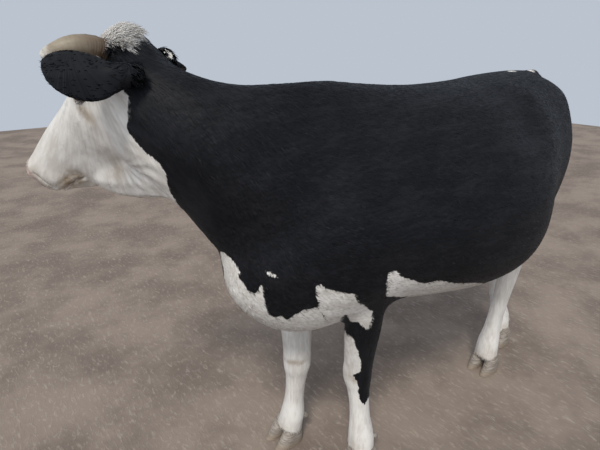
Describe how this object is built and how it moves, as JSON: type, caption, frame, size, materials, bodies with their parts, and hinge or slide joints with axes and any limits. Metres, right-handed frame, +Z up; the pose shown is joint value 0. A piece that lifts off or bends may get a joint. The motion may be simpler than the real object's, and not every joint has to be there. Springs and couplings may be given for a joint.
{
  "type": "cow",
  "caption": "Life-size horned black-and-white dairy cow, standing with its head turned to its right; a still model in one pose.",
  "frame": {"origin": "centre of the bounding box in X and Y, on the floor", "axes": "+X to the cow's rear, +Y to the cow's right, +Z up"},
  "size_m": [2.0404, 0.9004, 1.5094],
  "materials": {
    "coat": "short fur, black with white markings",
    "coat_white": "short white fur",
    "skin": "bare pink skin with fine hair",
    "eye": "wet, very dark brown",
    "horn": "horn, worn and ringed",
    "hoof": "hoof horn, ringed and scuffed"
  },
  "bodies": {
    "root": {"trunk": "coat", "neck": "coat", "head": "coat", "eye_left": "eye", "eye_right": "eye", "horn_left": "horn", "horn_right": "horn", "ear_left": "coat", "ear_right": "coat", "leg_fore_left": "coat_white", "leg_fore_right": "coat_white", "leg_hind_left": "coat_white", "leg_hind_right": "coat_white", "claw_fore_left_outer": "hoof", "claw_fore_left_inner": "hoof", "claw_fore_right_outer": "hoof", "claw_fore_right_inner": "hoof", "claw_hind_left_outer": "hoof", "claw_hind_left_inner": "hoof", "claw_hind_right_outer": "hoof", "claw_hind_right_inner": "hoof", "dewclaw_fore_left_outer": "hoof", "dewclaw_fore_left_inner": "hoof", "dewclaw_fore_right_outer": "hoof", "dewclaw_fore_right_inner": "hoof", "dewclaw_hind_left_outer": "hoof", "dewclaw_hind_left_inner": "hoof", "dewclaw_hind_right_outer": "hoof", "dewclaw_hind_right_inner": "hoof", "tail": "coat", "tail_switch": "coat_white", "udder": "skin"}
  },
  "joints": []
}
